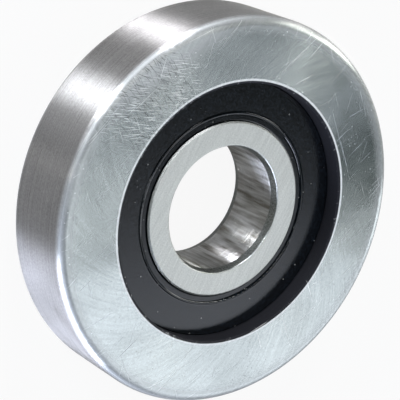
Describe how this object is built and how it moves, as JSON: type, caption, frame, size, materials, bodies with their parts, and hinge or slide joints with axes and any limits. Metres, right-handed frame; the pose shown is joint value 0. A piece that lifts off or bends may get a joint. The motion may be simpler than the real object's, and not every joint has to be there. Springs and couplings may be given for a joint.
{
  "type": "forklift mast roller",
  "caption": "Sealed steel ball-bearing roller with a thick outer ring, a recessed front and a plain bore, for running in a mast channel.",
  "frame": {"origin": "centre of the bore on the back face, which the roller lies on", "axes": "+Z along the roller's axis, from the flush back face towards the recessed front face; X and Y across it, with the middle of ball_1 on +X"},
  "size_m": [0.125, 0.125, 0.028],
  "materials": {
    "ground_ring_steel": "turned and ground bearing steel",
    "bore_ring_steel": "fine ground bearing steel",
    "seal_rubber": "moulded satin nitrile rubber",
    "cage_steel": "pressed steel strip",
    "ball_steel": "lapped bearing steel",
    "rivet_steel": "upset steel"
  },
  "bodies": {
    "inner": {"inner_ring": "bore_ring_steel"},
    "outer": {"outer_ring": "ground_ring_steel", "seal_front": "seal_rubber", "seal_back": "seal_rubber"},
    "cage": {"cage_front": "cage_steel", "cage_back": "cage_steel", "rivet_1": "rivet_steel", "rivet_2": "rivet_steel", "rivet_3": "rivet_steel", "rivet_4": "rivet_steel", "rivet_5": "rivet_steel", "rivet_6": "rivet_steel", "rivet_7": "rivet_steel", "rivet_8": "rivet_steel"},
    "ball_1": {"ball_1": "ball_steel"},
    "ball_2": {"ball_2": "ball_steel"},
    "ball_3": {"ball_3": "ball_steel"},
    "ball_4": {"ball_4": "ball_steel"},
    "ball_5": {"ball_5": "ball_steel"},
    "ball_6": {"ball_6": "ball_steel"},
    "ball_7": {"ball_7": "ball_steel"},
    "ball_8": {"ball_8": "ball_steel"}
  },
  "joints": [
    {"name": "outer_spin", "type": "hinge", "parent": "inner", "child": "outer", "pos_m": [0, 0, 0], "axis": [0, 0, 1], "continuous": true},
    {"name": "cage_orbit", "type": "hinge", "parent": "inner", "child": "cage", "pos_m": [0, 0, 0], "axis": [0, 0, 1], "continuous": true},
    {"name": "ball_1_roll", "type": "hinge", "parent": "cage", "child": "ball_1", "pos_m": [0.03249, 0, 0.0115], "axis": [0, 0, 1], "continuous": true},
    {"name": "ball_2_roll", "type": "hinge", "parent": "cage", "child": "ball_2", "pos_m": [0.02297, 0.02297, 0.0115], "axis": [0, 0, 1], "continuous": true},
    {"name": "ball_3_roll", "type": "hinge", "parent": "cage", "child": "ball_3", "pos_m": [0, 0.03249, 0.0115], "axis": [0, 0, 1], "continuous": true},
    {"name": "ball_4_roll", "type": "hinge", "parent": "cage", "child": "ball_4", "pos_m": [-0.02297, 0.02297, 0.0115], "axis": [0, 0, 1], "continuous": true},
    {"name": "ball_5_roll", "type": "hinge", "parent": "cage", "child": "ball_5", "pos_m": [-0.03249, 0, 0.0115], "axis": [0, 0, 1], "continuous": true},
    {"name": "ball_6_roll", "type": "hinge", "parent": "cage", "child": "ball_6", "pos_m": [-0.02297, -0.02297, 0.0115], "axis": [0, 0, 1], "continuous": true},
    {"name": "ball_7_roll", "type": "hinge", "parent": "cage", "child": "ball_7", "pos_m": [0, -0.03249, 0.0115], "axis": [0, 0, 1], "continuous": true},
    {"name": "ball_8_roll", "type": "hinge", "parent": "cage", "child": "ball_8", "pos_m": [0.02297, -0.02297, 0.0115], "axis": [0, 0, 1], "continuous": true}
  ],
  "couplings": [
    {"joint": "cage_orbit", "follows": "outer_spin", "ratio": 0.61604},
    {"joint": "ball_1_roll", "follows": "outer_spin", "ratio": 2.0385},
    {"joint": "ball_2_roll", "follows": "outer_spin", "ratio": 2.0385},
    {"joint": "ball_3_roll", "follows": "outer_spin", "ratio": 2.0385},
    {"joint": "ball_4_roll", "follows": "outer_spin", "ratio": 2.0385},
    {"joint": "ball_5_roll", "follows": "outer_spin", "ratio": 2.0385},
    {"joint": "ball_6_roll", "follows": "outer_spin", "ratio": 2.0385},
    {"joint": "ball_7_roll", "follows": "outer_spin", "ratio": 2.0385},
    {"joint": "ball_8_roll", "follows": "outer_spin", "ratio": 2.0385}
  ]
}
